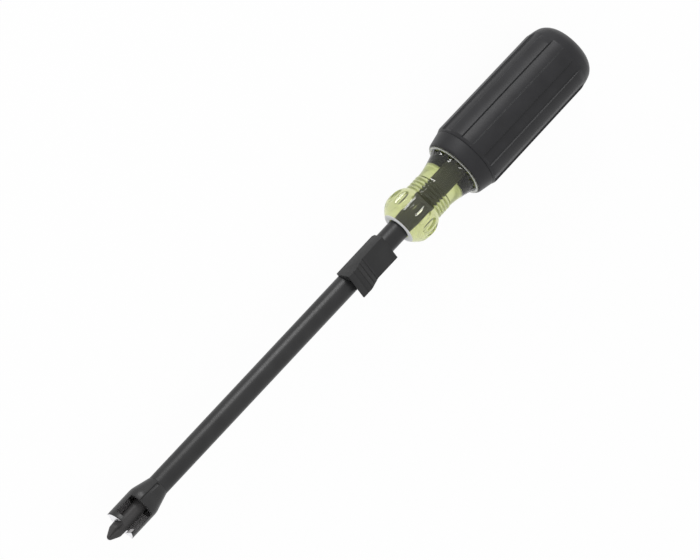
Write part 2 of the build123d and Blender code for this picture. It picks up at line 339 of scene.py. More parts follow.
def addBump(tree, shader, height, strength, distance):
    bump = tree.nodes.new("ShaderNodeBump")
    bump.inputs["Strength"].default_value = strength
    bump.inputs["Distance"].default_value = distance
    tree.links.new(height, bump.inputs["Height"])
    tree.links.new(bump.outputs["Normal"], shader.inputs["Normal"])


def axisPlace(tree):
    # place along the tool's axis and distance from it, in metres
    place = tree.nodes.new("ShaderNodeTexCoord")
    split = tree.nodes.new("ShaderNodeSeparateXYZ")
    across = tree.nodes.new("ShaderNodeCombineXYZ")
    length = tree.nodes.new("ShaderNodeVectorMath")
    length.operation = "LENGTH"
    tree.links.new(place.outputs["Object"], split.inputs[0])
    tree.links.new(split.outputs["Y"], across.inputs["Y"])
    tree.links.new(split.outputs["Z"], across.inputs["Z"])
    tree.links.new(across.outputs[0], length.inputs[0])
    return split.outputs["X"], length.outputs["Value"]


# solid finishes, each with mottled colour, uneven roughness and a fine grain

plainFinish = {
    "metallic": 0.0, "specular": 0.5, "stretch": (1, 1, 1), "mottle": 120, "bump": 0.15, "bumpDepth": 0.04,
}
finishes = {
    "gripRubber": {"dark": (0.0185, 0.0185, 0.02), "light": (0.0255, 0.0255, 0.0275), "rough": (0.34, 0.43),
                   "specular": 0.2, "grain": 2600, "bump": 0.4},
    "blackOxide": {"dark": (0.018, 0.018, 0.0185), "light": (0.026, 0.026, 0.0265), "rough": (0.3, 0.4),
                   "specular": 0.28, "grain": 1500},
    "slideBlack": {"dark": (0.018, 0.018, 0.0185), "light": (0.025, 0.025, 0.0255), "rough": (0.42, 0.55),
                   "specular": 0.28, "grain": 1900},
    "darkSteel": {"dark": (0.05, 0.0485, 0.049), "light": (0.064, 0.062, 0.0625), "rough": (0.42, 0.54),
                  "specular": 0.15, "grain": 1300, "stretch": (0.25, 1, 1)},
    "springSteel": {"dark": (0.36, 0.36, 0.37), "light": (0.46, 0.46, 0.47), "rough": (0.24, 0.34),
                    "metallic": 1.0, "grain": 1500},
    "platedSteel": {"dark": (0.55, 0.55, 0.53), "light": (0.64, 0.64, 0.62), "rough": (0.26, 0.38),
                    "metallic": 1.0, "grain": 1100},
    "bushingBrass": {"dark": (0.66, 0.5, 0.22), "light": (0.74, 0.58, 0.3), "rough": (0.26, 0.36),
                     "metallic": 1.0, "grain": 1100},
}


def finish(name, values):
    f = {**plainFinish, **values}
    material, tree, shader = newMaterial(name)
    shader.inputs["Metallic"].default_value = f["metallic"]
    shader.inputs["Specular IOR Level"].default_value = f["specular"]
    mottle = ranged(tree, noiseOn(tree, f["mottle"], 4.0, f["stretch"]), 0, 1)
    tree.links.new(colourBetween(tree, mottle, f["dark"], f["light"]), shader.inputs["Base Color"])
    fine = noiseOn(tree, f["grain"], 2.0, f["stretch"])
    tree.links.new(ranged(tree, fine, *f["rough"]), shader.inputs["Roughness"])
    addBump(tree, shader, fine, f["bump"], f["bumpDepth"] * mm)
    return material


# the head's black outside, lighter inside the cage, and near-white forward-facing faces at its front that are
# a painted reflection

cageLook = {
    "cageInsideRadius": 6.42, "radiusFade": 0.08, "cageInsideDepth": 12.4, "glareDepth": 2.0, "depthFade": 0.1,
    "facing": (0.85, 0.95), "cageInsideTone": (0.5, 0.49, 0.495), "glareTone": (0.92, 0.92, 0.94),
}


def cageFinish():
    c = cageLook
    material = finish("cageBlack", finishes["blackOxide"])
    tree = material.node_tree
    shader = tree.nodes["Principled BSDF"]
    x, radius = axisPlace(tree)

    def ahead(depth):
        return ranged(tree, x, 0, 1, headFrontX - (depth + c["depthFade"]) * mm, headFrontX - depth * mm)

    # forward-facing faces near the head's front are painted near-white and metallic, a painted reflection
    normal = tree.nodes.new("ShaderNodeSeparateXYZ")
    tree.links.new(tree.nodes.new("ShaderNodeNewGeometry").outputs["Normal"], normal.inputs[0])
    forward = ranged(tree, normal.outputs["X"], 0, 1, *c["facing"])
    paintedGlare = joined(tree, "MULTIPLY", forward, ahead(c["glareDepth"]))
    # a lighter colour inside the cage bore, near the front
    inside = ranged(tree, radius, 1, 0, c["cageInsideRadius"] * mm, (c["cageInsideRadius"] + c["radiusFade"]) * mm)
    lighterInside = joined(tree, "MULTIPLY", inside, ahead(c["cageInsideDepth"]))
    colour = shader.inputs["Base Color"].links[0].from_socket
    colour = colourBetween(tree, lighterInside, colour, c["cageInsideTone"])
    colour = colourBetween(tree, paintedGlare, colour, c["glareTone"])
    tree.links.new(colour, shader.inputs["Base Color"])
    tree.links.new(paintedGlare, shader.inputs["Metallic"])
    return material


# clear bar stock with a haze on its far wall; its front face and flange take a white haze that is a painted
# reflection, its flange rim is painted dark as painted shade, and its core is painted white as painted light

plastic = {
    "ior": 1.48, "roughness": 0.03, "waveScale": 260, "waveStretch": (0.35, 1, 1), "waveBump": 0.35,
    "waveDepth": 0.06, "streakScale": 700, "streakStretch": (0.07, 1, 1), "streaks": (0.65, 1.25),
    "capEnd": 0.1, "capFade": 0.15, "coneStart": 22.0, "coneFade": 2.0,
    "flangeStart": 34.8, "flangeInner": 12.1, "coreStart": 35.3, "edgeFade": 0.05,
    "rimShadeInner": 13.1, "rimShadeFade": 0.08,
    "bulbHaze": 0.3, "coneHaze": 0.7, "coreGlowHaze": 1.0, "frontHaze": 0.015, "capGlareHaze": 0.95, "flangeGlareHaze": 0.5,
    "hazeTint": (0.70, 0.74, 0.52), "glareTint": (0.9, 0.91, 0.93),
    "coreGlowTint": (0.95, 0.95, 0.92), "rimShadeTint": (0.04, 0.04, 0.035),
    "absorbTint": (0.80, 0.84, 0.30), "absorbDensity": 62.0,
}


def clearPlastic():
    p = plastic
    material, tree, shader = newMaterial("clearAcetate")
    shader.inputs["Base Color"].default_value = (1, 1, 1, 1)
    shader.inputs["Transmission Weight"].default_value = 1.0
    shader.inputs["IOR"].default_value = p["ior"]
    shader.inputs["Roughness"].default_value = p["roughness"]
    wave = noiseOn(tree, p["waveScale"], 2.0, p["waveStretch"])  # faint drawn lines left in the bar
    addBump(tree, shader, wave, p["waveBump"], p["waveDepth"] * mm)
    x, radius = axisPlace(tree)

    def behind(station, fade):
        return ranged(tree, x, 1, 0, faceX - (station + fade) * mm, faceX - station * mm)

    def outside(inner, fade):
        return ranged(tree, radius, 0, 1, inner * mm, (inner + fade) * mm)

    # the front face is given a near-white haze, a painted reflection
    cap = joined(tree, "SUBTRACT", 1.0, behind(p["capEnd"], p["capFade"]))
    cone = behind(p["coneStart"], p["coneFade"])
    # everything behind the core start turns matt near-white, painted light standing in for light carried
    # through the clear plastic
    core = behind(p["coreStart"], p["edgeFade"])
    # the flange is given a near-white haze, a painted reflection
    flange = joined(tree, "MULTIPLY", outside(p["flangeInner"], p["edgeFade"]),
                    behind(p["flangeStart"], p["edgeFade"]))
    # the flange's outer rim is painted near-black, a painted shade for the gap in front of the rubber
    rim = joined(tree, "MULTIPLY", flange, outside(p["rimShadeInner"], p["rimShadeFade"]))
    streak = ranged(tree, noiseOn(tree, p["streakScale"], 3.0, p["streakStretch"]), *p["streaks"])
    far = tree.nodes.new("ShaderNodeNewGeometry").outputs["Backfacing"]
    depth = joined(tree, "MULTIPLY_ADD", cone, p["coneHaze"] - p["bulbHaze"], p["bulbHaze"])
    share = joined(tree, "MULTIPLY", joined(tree, "MULTIPLY", depth, far), streak)
    share = joined(tree, "MAXIMUM", share, p["frontHaze"])
    for part, haze in ((cap, p["capGlareHaze"]), (flange, p["flangeGlareHaze"]), (core, p["coreGlowHaze"])):
        share = joined(tree, "MAXIMUM", share, joined(tree, "MULTIPLY", part, haze))
    ends = joined(tree, "MAXIMUM", cap, flange)
    # the cap and flange take a near-white tint, a painted reflection
    tint = colourBetween(tree, ends, p["hazeTint"], p["glareTint"])
    # the core takes a near-white tint, painted light
    tint = colourBetween(tree, core, tint, p["coreGlowTint"])
    # the flange's rim takes a near-black tint, a painted shade
    tint = colourBetween(tree, rim, tint, p["rimShadeTint"])
    matt = tree.nodes.new("ShaderNodeBsdfDiffuse")
    glow = tree.nodes.new("ShaderNodeBsdfTranslucent")
    tree.links.new(tint, matt.inputs["Color"])
    tree.links.new(tint, glow.inputs["Color"])
    # light passes through half of the haze in the bulb, all in the cone, none at the ends and the core
    free = joined(tree, "SUBTRACT", 1.0, joined(tree, "MAXIMUM", core, ends))
    through = joined(tree, "MULTIPLY", joined(tree, "MULTIPLY_ADD", cone, 0.5, 0.5), free)
    cloud = mixedShader(tree, through, matt, glow)
    mixed = mixedShader(tree, share, shader, cloud)
    tree.links.new(mixed.outputs[0], tree.nodes["Material Output"].inputs["Surface"])
    absorb = tree.nodes.new("ShaderNodeVolumeAbsorption")
    absorb.inputs["Color"].default_value = (*p["absorbTint"], 1)
    absorb.inputs["Density"].default_value = p["absorbDensity"]
    tree.links.new(absorb.outputs["Volume"], tree.nodes["Material Output"].inputs["Volume"])
    return material


def mixedShader(tree, share, first, second):
    node = tree.nodes.new("ShaderNodeMixShader")
    tree.links.new(share, node.inputs[0])
    tree.links.new(first.outputs[0], node.inputs[1])
    tree.links.new(second.outputs[0], node.inputs[2])
    return node


looks = {name: finish(name, values) for name, values in finishes.items()}
looks["cageBlack"] = cageFinish()
looks["clearAcetate"] = clearPlastic()
print("materials made")


# geometry node helpers


class NodeTree:
    def __init__(self, name):
        self.tree = bpy.data.node_groups.new(name, "GeometryNodeTree")
        self.tree.interface.new_socket("Geometry", in_out="INPUT", socket_type="NodeSocketGeometry")
        self.tree.interface.new_socket("Geometry", in_out="OUTPUT", socket_type="NodeSocketGeometry")
        self.start = self.tree.nodes.new("NodeGroupInput")
        self.end = self.tree.nodes.new("NodeGroupOutput")
        self.values = {}

    def input(self, name, value, kind="NodeSocketFloat"):
        socket = self.tree.interface.new_socket(name, in_out="INPUT", socket_type=kind)
        self.values[socket.identifier] = value
        return self.start.outputs[name]

    def node(self, kind, inputs, **settings):
        made = self.tree.nodes.new(kind)
        for key, value in settings.items():
            setattr(made, key, value)
        for key, value in inputs.items():
            plug(self.tree, made.inputs[key], value)
        return made

    def result(self, kind, inputs, **settings):
        return self.node(kind, inputs, **settings).outputs[0]

    def math(self, operation, *values):
        return self.result("ShaderNodeMath", dict(enumerate(values)), operation=operation)

    def square(self, value):
        return self.math("MULTIPLY", value, value)

    def run(self, piece, geometry, lookName):
        # the tree ends in plain geometry with its material, which becomes the piece's mesh
        plain = self.result("GeometryNodeRealizeInstances", {"Geometry": geometry})
        painted = self.result("GeometryNodeSetMaterial", {"Geometry": plain, "Material": looks[lookName]})
        self.tree.links.new(painted, self.end.inputs["Geometry"])
        modifier = piece.modifiers.new("nodes", "NODES")
        modifier.node_group = self.tree
        for identifier, value in self.values.items():
            modifier[identifier] = value
        settle(piece)

    def polar(self):
        # x, radius and angle of each point about the tool's axis
        position = self.result("GeometryNodeInputPosition", {})
        x, y, z = self.node("ShaderNodeSeparateXYZ", {0: position}).outputs
        squares = self.math("ADD", self.square(y), self.square(z))
        return x, self.math("SQRT", squares), self.math("ARCTAN2", y, z)

    def atRadius(self, geometry, x, radius, angle):
        y = self.math("MULTIPLY", radius, self.math("SINE", angle))
        z = self.math("MULTIPLY", radius, self.math("COSINE", angle))
        place = self.result("ShaderNodeCombineXYZ", {0: x, 1: y, 2: z})
        return self.result("GeometryNodeSetPosition", {"Geometry": geometry, "Position": place})

    def fold(self, angle, step, centre):
        # the angle from the nearest of the places that repeat every step
        shifted = self.math("SUBTRACT", angle, centre)
        return self.math("WRAP", shifted, self.math("MULTIPLY", step, 0.5), self.math("MULTIPLY", step, -0.5))


# clear handle, turned from a fluted bar

handle = {
    "pocketDepth": 1.2, "pocketRadius": 5.05, "pocketEdge": 0.1, "mouthEdge": 0.15,
    "faceRadius": 7.4, "faceEdge": 0.3,
    "capLength": 4.2, "capRadius": 11.1, "capSag": 0.3, "capEdge": 0.3,
    "bulbRadius": 11.8, "bulbLength": 15.3, "bulbSpacing": 0.19,
    "shoulderRadius": 10.6, "shoulderLength": 2.3, "shoulderSag": 0.25, "shoulderEdge": 0.25,
    "flutes": 16, "fluteDepth": 0.75, "ridgeWidth": 0.7, "fluteLean": 6.0, "fluteOverrun": 0.02,
    "rings": 4, "ringPitch": 1.74, "ringRoot": 8.5, "ringHeight": 0.75, "ringEdge": 0.12,
    "coneStep": 0.25, "coneRadius": 8.95, "coneHollow": 0.5, "coneEnd": 11.95, "coneEdge": 0.1,
    "coneSpacing": 0.25,
    "flangeStart": 34.9, "flangeLength": 0.5, "flangeFront": 13.2, "flangeRadius": 13.6,
    "flangeEdge": 0.15, "flangeRearEdge": 0.05,
    "coreRadius": 12.45, "coreCorner": 6.5, "endWall": 2.8,
    "segments": 256, "softness": 0.14,
}


def cornerSag(corner):
    # how far a quarter circle of this radius bulges from its chord
    return corner * (1 - math.sqrt(0.5))


def handleOutline():
    h = handle
    crownSag = h["bulbRadius"] - (h["capRadius"] + h["shoulderRadius"]) / 2
    steps = [
        (h["pocketDepth"], 0, 0, 0),
        (h["pocketDepth"], h["pocketRadius"], 0, h["pocketEdge"]),
        (0, h["pocketRadius"], 0, h["mouthEdge"]),
        (0, h["faceRadius"], 0, h["faceEdge"]),
        (h["capLength"], h["capRadius"], h["capSag"], h["capEdge"]),
        (h["bulbLength"] - h["shoulderLength"], h["shoulderRadius"], crownSag, h["shoulderEdge"]),
        (h["bulbLength"], h["ringRoot"], h["shoulderSag"], h["ringEdge"]),
    ]
    for index in range(h["rings"]):
        ringEnd = h["bulbLength"] + (index + 1) * h["ringPitch"]
        steps.append((ringEnd, h["ringRoot"], h["ringHeight"], h["ringEdge"]))
    cone = steps[-1][0] + h["coneStep"]
    end = (faceX - gripEndX) / mm - h["endWall"]
    shoulder = h["flangeStart"] + h["flangeLength"]
    steps += [
        (cone, h["coneRadius"], 0, h["coneEdge"]),
        (h["flangeStart"], h["coneEnd"], -h["coneHollow"], h["coneEdge"]),
        (h["flangeStart"], h["flangeFront"], 0, h["flangeEdge"]),
        (shoulder, h["flangeRadius"], 0, h["flangeRearEdge"]),
        (shoulder, h["coreRadius"], 0, 0),
        (end - h["coreCorner"], h["coreRadius"], 0, 0),
        (end, h["coreRadius"] - h["coreCorner"], cornerSag(h["coreCorner"]), 0),
        (end, 0, 0, 0),
    ]
    line = finer(outline(steps), h["bulbSpacing"], 0, h["bulbLength"])
    return finer(line, h["coneSpacing"], cone, h["flangeStart"])


def fluteNodes():
    # each point moves in to the wall of the nearest flute, where that lies nearer the axis
    h = handle
    nodes = NodeTree("barFlutes")
    count = nodes.input("Flute Count", float(h["flutes"]))
    bar = nodes.input("Bar Radius", h["bulbRadius"] * mm)
    depth = nodes.input("Flute Depth", h["fluteDepth"] * mm)
    ridge = nodes.input("Ridge Width", h["ridgeWidth"] * mm)
    lean = nodes.input("Flute Lean", math.radians(h["fluteLean"]))
    rear = nodes.input("Rear End", faceX - (h["flangeStart"] + h["fluteOverrun"]) * mm)
    soft = nodes.input("Softness", h["softness"] * mm)
    x, radius, angle = nodes.polar()
    step = nodes.math("DIVIDE", math.tau, count)
    width = nodes.math("MULTIPLY", bar, nodes.math("MULTIPLY", step, 0.5))
    half = nodes.math("SUBTRACT", width, nodes.math("MULTIPLY", ridge, 0.5))
    squares = nodes.math("ADD", nodes.square(half), nodes.square(depth))
    cutter = nodes.math("DIVIDE", squares, nodes.math("MULTIPLY", depth, 2.0))
    centre = nodes.math("ADD", nodes.math("SUBTRACT", bar, depth), cutter)
    off = nodes.fold(angle, step, nodes.math("ADD", nodes.math("MULTIPLY", step, 0.5), lean))
    aside = nodes.math("MULTIPLY", centre, nodes.math("SINE", off))
    under = nodes.math("SUBTRACT", nodes.square(cutter), nodes.square(aside))
    reach = nodes.math("SQRT", nodes.math("MAXIMUM", under, 0.0))
    wall = nodes.math("SUBTRACT", nodes.math("MULTIPLY", centre, nodes.math("COSINE", off)), reach)
    carved = nodes.math("SMOOTH_MIN", radius, wall, soft)
    front = nodes.math("GREATER_THAN", x, rear)
    kept = nodes.math("ADD", nodes.math("MULTIPLY", front, carved),
                      nodes.math("MULTIPLY", nodes.math("SUBTRACT", 1.0, front), radius))
    return nodes, nodes.atRadius(nodes.start.outputs["Geometry"], x, kept, angle)


def makeHandle():
    piece = turned("clearHandle", handleOutline(), evenAngles(handle["segments"]))
    nodes, shaped = fluteNodes()
    nodes.run(piece, shaped, "clearAcetate")
    smoothShade(piece, degrees=60)
    dress(piece, "clearAcetate", "handle", "clear_acetate", "handle_core")


makeHandle()


# rubber grip with eight raised panels

grip = {
    "mouth": 35.43, "boreRadius": 12.43, "mouthRadius": 13.7, "mouthEdge": 0.1,
    "lipLength": 1.2, "lipRadius": 14.21, "lipSag": 0.08, "lipEdge": 0.4,
    "noseRadius": 15.3, "ringGroove": 0.22, "grooveRise": 0.6, "grooveEdge": 0.1, "grooveRearEdge": 0.12,
    "panels": 8, "panelStart": 42.2, "panelLead": 1.6, "panelEnd": 101.0, "panelTail": 2.0,
    "panelHeight": 0.63, "taper": 0.33, "tailDrop": 0.5, "leadEdge": 0.5, "tailEdge": 0.8, "endEdge": 0.3,
    "floorRadius": 15.4, "channelAngle": 21.0, "edgeAngle": 1.3,
    "channelInset": 0.8, "channelRunout": 0.95, "channelStep": 0.06, "endEase": 0.12, "rearReach": 0.5,
    "domeRadius": 14.1, "domeDepth": 4.0, "domeSag": 0.15, "domeEdge": 0.6,
    "cornerRadius": 9.9, "cornerDepth": 3.6, "cornerSag": 0.48,
    "endWall": 2.8, "coreCorner": 6.5,
    "panelSpacing": 2.0, "leadSpacing": 0.12, "tailSpacing": 0.3, "domeSpacing": 0.6,
    "nearMargin": 0.4, "farMargin": 0.6,
}


def gripOutline():
    g = grip
    end = (faceX - gripEndX) / mm
    corner = g["panelEnd"] + g["domeDepth"] + g["cornerDepth"]
    crown = end - corner
    ball = (g["cornerRadius"] ** 2 + crown ** 2) / (2 * crown)
    crownSag = ball * (1 - math.cos(math.asin(g["cornerRadius"] / ball) / 2))
    outer = g["floorRadius"] + g["panelHeight"]
    boreEnd = end - g["endWall"]
    groove = g["ringGroove"]
    steps = [
        (boreEnd, 0, 0, 0),
        (boreEnd, g["boreRadius"] - g["coreCorner"], 0, 0),
        (boreEnd - g["coreCorner"], g["boreRadius"], -cornerSag(g["coreCorner"]), 0),
        (g["mouth"], g["boreRadius"], 0, g["mouthEdge"]),
        (g["mouth"], g["mouthRadius"], 0, g["mouthEdge"]),
        (g["mouth"] + g["lipLength"], g["lipRadius"], g["lipSag"], g["lipEdge"]),
        (g["panelStart"] - groove, g["noseRadius"], 0, g["grooveEdge"]),
        (g["panelStart"], g["noseRadius"] - groove, 0, g["grooveEdge"]),
        (g["panelStart"] + groove, g["noseRadius"] + groove * g["grooveRise"], 0, g["grooveRearEdge"]),
        (g["panelStart"] + g["panelLead"], outer, 0, g["leadEdge"]),
        (g["panelEnd"] - g["panelTail"], outer - g["taper"], 0, g["tailEdge"]),
        (g["panelEnd"], outer - g["taper"] - g["tailDrop"], 0, g["endEdge"]),
        (g["panelEnd"] + g["domeDepth"], g["domeRadius"], g["domeSag"], g["domeEdge"]),
        (corner, g["cornerRadius"], g["cornerSag"], g["domeEdge"]),
        (end, 0, crownSag, 0),
    ]
    start = g["panelStart"] + g["panelLead"]
    channel = g["panelStart"] + g["channelInset"]
    tail = g["panelEnd"] - g["panelTail"]
    line = finer(outline(steps), g["panelSpacing"], start, g["panelEnd"])
    line = finer(line, g["leadSpacing"], channel - g["nearMargin"], start + g["farMargin"])
    line = finer(line, g["tailSpacing"], tail - g["farMargin"], g["panelEnd"] + g["nearMargin"])
    return finer(line, g["domeSpacing"], g["panelEnd"], end)


def panelAngles():
    # close columns where the channel walls rise, wide ones between
    g = grip
    step = 360 / g["panels"]
    half, edge = g["channelAngle"] / 2, g["edgeAngle"]
    places = [half * share for share in (0, 0.25, 0.5, 0.75, 0.88)]
    places += [half - edge / 2 + edge * i / 8 for i in range(9)]
    places += [half + (step / 2 - half) * share for share in (0.14, 0.3, 0.5, 0.75)]
    sector = sorted({round(sign * place, 5) for place in places for sign in (-1, 1)} | {step / 2})
    return [math.radians(index * step + place) for index in range(g["panels"]) for place in sector]


def panelNodes():
    # sinks the channels between the panels, which run out on the panels' sloped front
    g = grip
    lead = (g["floorRadius"] + g["panelHeight"] - g["noseRadius"]) / g["panelLead"]
    crest = g["noseRadius"] + lead * g["channelInset"] - g["channelStep"]
    nodes = NodeTree("gripPanels")
    count = nodes.input("Panel Count", float(g["panels"]))
    half = nodes.input("Half Channel", math.radians(g["channelAngle"] / 2))
    edge = nodes.input("Edge Angle", math.radians(g["edgeAngle"]))
    floor = nodes.input("Floor Radius", g["floorRadius"] * mm)
    front = nodes.input("Channel Front", faceX - (g["panelStart"] + g["channelInset"]) * mm)
    ramp = nodes.input("Runout Length", g["channelRunout"] * mm)
    lift = nodes.input("Runout Rise", (crest - g["floorRadius"]) * mm)
    rear = nodes.input("Channel Rear", faceX - g["panelEnd"] * mm)
    past = nodes.input("Rear Reach", g["rearReach"] * mm)
    drop = nodes.input("Taper", g["taper"] * mm)
    ease = nodes.input("End Ease", g["endEase"] * mm)
    x, radius, angle = nodes.polar()
    step = nodes.math("DIVIDE", math.tau, count)
    off = nodes.math("ABSOLUTE", nodes.fold(angle, step, 0.0))

    def rise(value, low, high, first, last):
        return ranged(nodes.tree, value, first, last, low, high, "SMOOTHSTEP")

    low = nodes.math("SUBTRACT", half, nodes.math("MULTIPLY", edge, 0.5))
    high = nodes.math("ADD", half, nodes.math("MULTIPLY", edge, 0.5))
    across = rise(off, low, high, 1.0, 0.0)
    along = rise(x, nodes.math("SUBTRACT", front, ease), front, 1.0, 0.0)
    run = nodes.math("SUBTRACT", front, rear)
    share = nodes.math("DIVIDE", nodes.math("SUBTRACT", front, x), run)
    bottom = nodes.math("SUBTRACT", floor, nodes.math("MULTIPLY", drop, nodes.math("MAXIMUM", share, 0.0)))
    bottom = nodes.math("ADD", bottom, rise(x, nodes.math("SUBTRACT", front, ramp), front, 0.0, lift))
    depth = nodes.math("MAXIMUM", nodes.math("SUBTRACT", radius, bottom), 0.0)
    inside = nodes.math("GREATER_THAN", x, nodes.math("SUBTRACT", rear, past))
    sunk = nodes.math("MULTIPLY", depth, inside)
    sunk = nodes.math("MULTIPLY", sunk, nodes.math("MULTIPLY", across, along))
    carved = nodes.math("SUBTRACT", radius, sunk)
    return nodes, nodes.atRadius(nodes.start.outputs["Geometry"], x, carved, angle)


def makeGrip():
    piece = turned("rubberGrip", gripOutline(), panelAngles())
    nodes, shaped = panelNodes()
    nodes.run(piece, shaped, "gripRubber")
    smoothShade(piece, degrees=50)
    dress(piece, "gripRubber", "handle", "grip_rubber", "grip_sleeve")


makeGrip()


# driver shaft with its cross point

shaft = {
    "radius": 3.175, "bluntRadius": 1.15, "bluntLength": 0.5, "pointAngle": 26.5,
    "bluntEdge": 0.15, "pointEdge": 0.5, "rearEdge": 0.4, "segments": 96,
    "flutes": 4, "fluteCore": 0.75, "fluteLength": 8.5, "fluteLean": -29.4, "fluteReach": 1.5,
    "wingStart": 7.0, "wingSpan": 11.0, "wingThickness": 2.0, "wingLength": 14.0,
    "edge": 0.12, "edgeAngle": 25,
}


def makeShaft():
    s = shaft
    taper = (s["radius"] - s["bluntRadius"]) / math.tan(math.radians(s["pointAngle"]))
    rear = -shaftRearX / mm
    steps = [
        (0, 0, 0, 0),
        (0, s["bluntRadius"] / 2, 0, s["bluntEdge"]),
        (s["bluntLength"], s["bluntRadius"], 0, s["bluntEdge"]),
        (s["bluntLength"] + taper, s["radius"], 0, s["pointEdge"]),
        (rear, s["radius"], 0, s["rearEdge"]),
        (rear, 0, 0, 0),
    ]
    piece = turned("driverShaft", outline(steps), evenAngles(s["segments"]), originX=0)
    wingX = shaftRearX + s["wingStart"] * mm
    wing = blockTool((wingX, -s["wingSpan"] / 2 * mm, -s["wingThickness"] / 2 * mm),
                     (wingX + s["wingLength"] * mm, s["wingSpan"] / 2 * mm, s["wingThickness"] / 2 * mm))
    combine(piece, wing, "UNION")
    slope = math.atan2(s["radius"] - s["fluteCore"], s["fluteLength"])
    side = s["radius"] * 2 * mm
    reach = s["fluteLength"] * s["fluteReach"] * mm
    for index in range(s["flutes"]):
        # a square bar on its edge, sloped along the flute and turned to its place
        tool = blockTool((-reach, -side / 2, -side / 2), (reach, side / 2, side / 2))
        tool.data.transform(Matrix.Rotation(math.pi / 4, 4, "X"))
        tool.data.transform(Matrix.Translation((0, 0, side / math.sqrt(2))))
        tool.data.transform(Matrix.Rotation(slope, 4, "Y"))
        tool.data.transform(Matrix.Translation((0, 0, s["fluteCore"] * mm)))
        turn = math.radians(-s["fluteLean"] - index * 360 / s["flutes"])
        tool.data.transform(Matrix.Rotation(turn, 4, "X"))
        combine(piece, tool)
    roundEdges(piece, s["edge"], 2, s["edgeAngle"])
    smoothShade(piece, degrees=40)
    dress(piece, "darkSteel", "handle", "shaft_steel", "driver_shaft")


makeShaft()


# barrel tube

barrel = {
    "radius": 4.75, "wall": 0.5, "slotStart": 14.1, "slotLength": 12.5, "slotHalf": 1.15,
    "innerRearEdge": 0.1, "innerFrontEdge": 0.05, "outerFrontEdge": 0.08, "outerRearEdge": 0.15,
    "segments": 128, "slotSegments": 32, "cutReach": 1.4,
}


def makeBarrel():
    b = barrel
    rear, front = (faceX - barrelRearX) / mm, (faceX - flareX) / mm
    inner = b["radius"] - b["wall"]
    steps = [
        (rear, inner, 0, b["innerRearEdge"]),
        (front, inner, 0, b["innerFrontEdge"]),
        (front, b["radius"], 0, b["outerFrontEdge"]),
        (rear, b["radius"], 0, b["outerRearEdge"]),
    ]
    piece = turned("barrelTube", outline(steps, closed=True), evenAngles(b["segments"]), closed=True)
    slotFront = faceX + (b["slotStart"] + b["slotLength"]) * mm
    slotRear = faceX + b["slotStart"] * mm
    half, over = b["slotHalf"] * mm, b["radius"] * b["cutReach"] * mm
    combine(piece, blockTool((slotRear, -over, -half), (slotFront, over, half)))
    for x in (slotRear, slotFront):
        tool = rodTool(-over, over, half, "Y", b["slotSegments"])
        tool.data.transform(Matrix.Translation((x, 0, 0)))
        combine(piece, tool)
    smoothShade(piece, degrees=35)
    dress(piece, "blackOxide", "holder", "black_finish", "barrel_tube")


makeBarrel()


# cage head

head = {
    "spigotLength": 6.0, "spigotRadius": 4.24, "barrelRadius": 4.75, "flareLength": 9.0,
    "radius": 7.2, "wall": 0.85, "rim": 2.3, "cageDepth": 10.3,
    "boreRadius": 3.525, "bushingRadius": 4.025, "bushingLength": 7.5,
    "windowLength": 9.9, "windowWidth": 11.6, "windowLean": -24.0, "lowerSetback": 1.3, "slotLean": -10.0,
    "seamWidth": 1.4, "seamDepth": 0.55, "seamLean": -36.0, "seamStart": 0.6,
    "frontEdge": 0.35, "flareEdge": 1.2, "flareRearEdge": 0.12, "spigotFrontEdge": 0.05, "spigotEdge": 0.2,
    "boreEdge": 0.1, "cageRearEdge": 0.2, "cageFrontEdge": 0.15,
    "segments": 160, "cutReach": 1.3, "edge": 0.14, "edgeAngle": 40,
}


def headOutline():
    # stations run back from the front of the head
    h = head
    total = (headFrontX - flareX) / mm
    cage = h["rim"] + h["cageDepth"]
    seat = cage + h["bushingLength"]
    return outline([
        (0, h["radius"], 0, h["frontEdge"]),
        (total - h["flareLength"], h["radius"], 0, h["flareEdge"]),
        (total, h["barrelRadius"], 0, h["flareRearEdge"]),
        (total, h["spigotRadius"], 0, h["spigotFrontEdge"]),
        (total + h["spigotLength"], h["spigotRadius"], 0, h["spigotEdge"]),
        (total + h["spigotLength"], h["boreRadius"], 0, h["boreEdge"]),
        (seat, h["boreRadius"], 0, 0),
        (seat, h["bushingRadius"], 0, 0),
        (cage, h["bushingRadius"], 0, 0),
        (cage, h["radius"] - h["wall"], 0, h["cageRearEdge"]),
        (h["rim"], h["radius"] - h["wall"], 0, h["cageFrontEdge"]),
        (h["rim"], h["boreRadius"], 0, 0),
        (0, h["boreRadius"], 0, 0),
    ], closed=True)


def cutSeam(piece):
    # a groove up the flare, then level along the head to the window
    h = head
    slope = math.atan2(h["radius"] - h["barrelRadius"], h["flareLength"])
    run = h["flareLength"] / math.cos(slope)
    half = h["seamWidth"] / 2 * mm
    seam = blockTool((h["seamStart"] * mm, -half, -h["seamDepth"] * mm), (run * mm, half, h["radius"] * mm))
    seam.data.transform(Matrix.Rotation(-slope, 4, "Y"))
    seam.data.transform(Matrix.Translation((flareX, 0, h["barrelRadius"] * mm)))
    seam.data.transform(Matrix.Rotation(math.radians(-h["seamLean"]), 4, "X"))
    combine(piece, seam)
    window = headFrontX - (h["rim"] + h["windowLength"]) * mm
    start = flareX + (h["flareLength"] - h["seamDepth"]) * mm
    combine(piece, blockTool((start, -half, (h["radius"] - h["seamDepth"]) * mm),
                             (window, half, h["radius"] * h["cutReach"] * mm), h["seamLean"]))


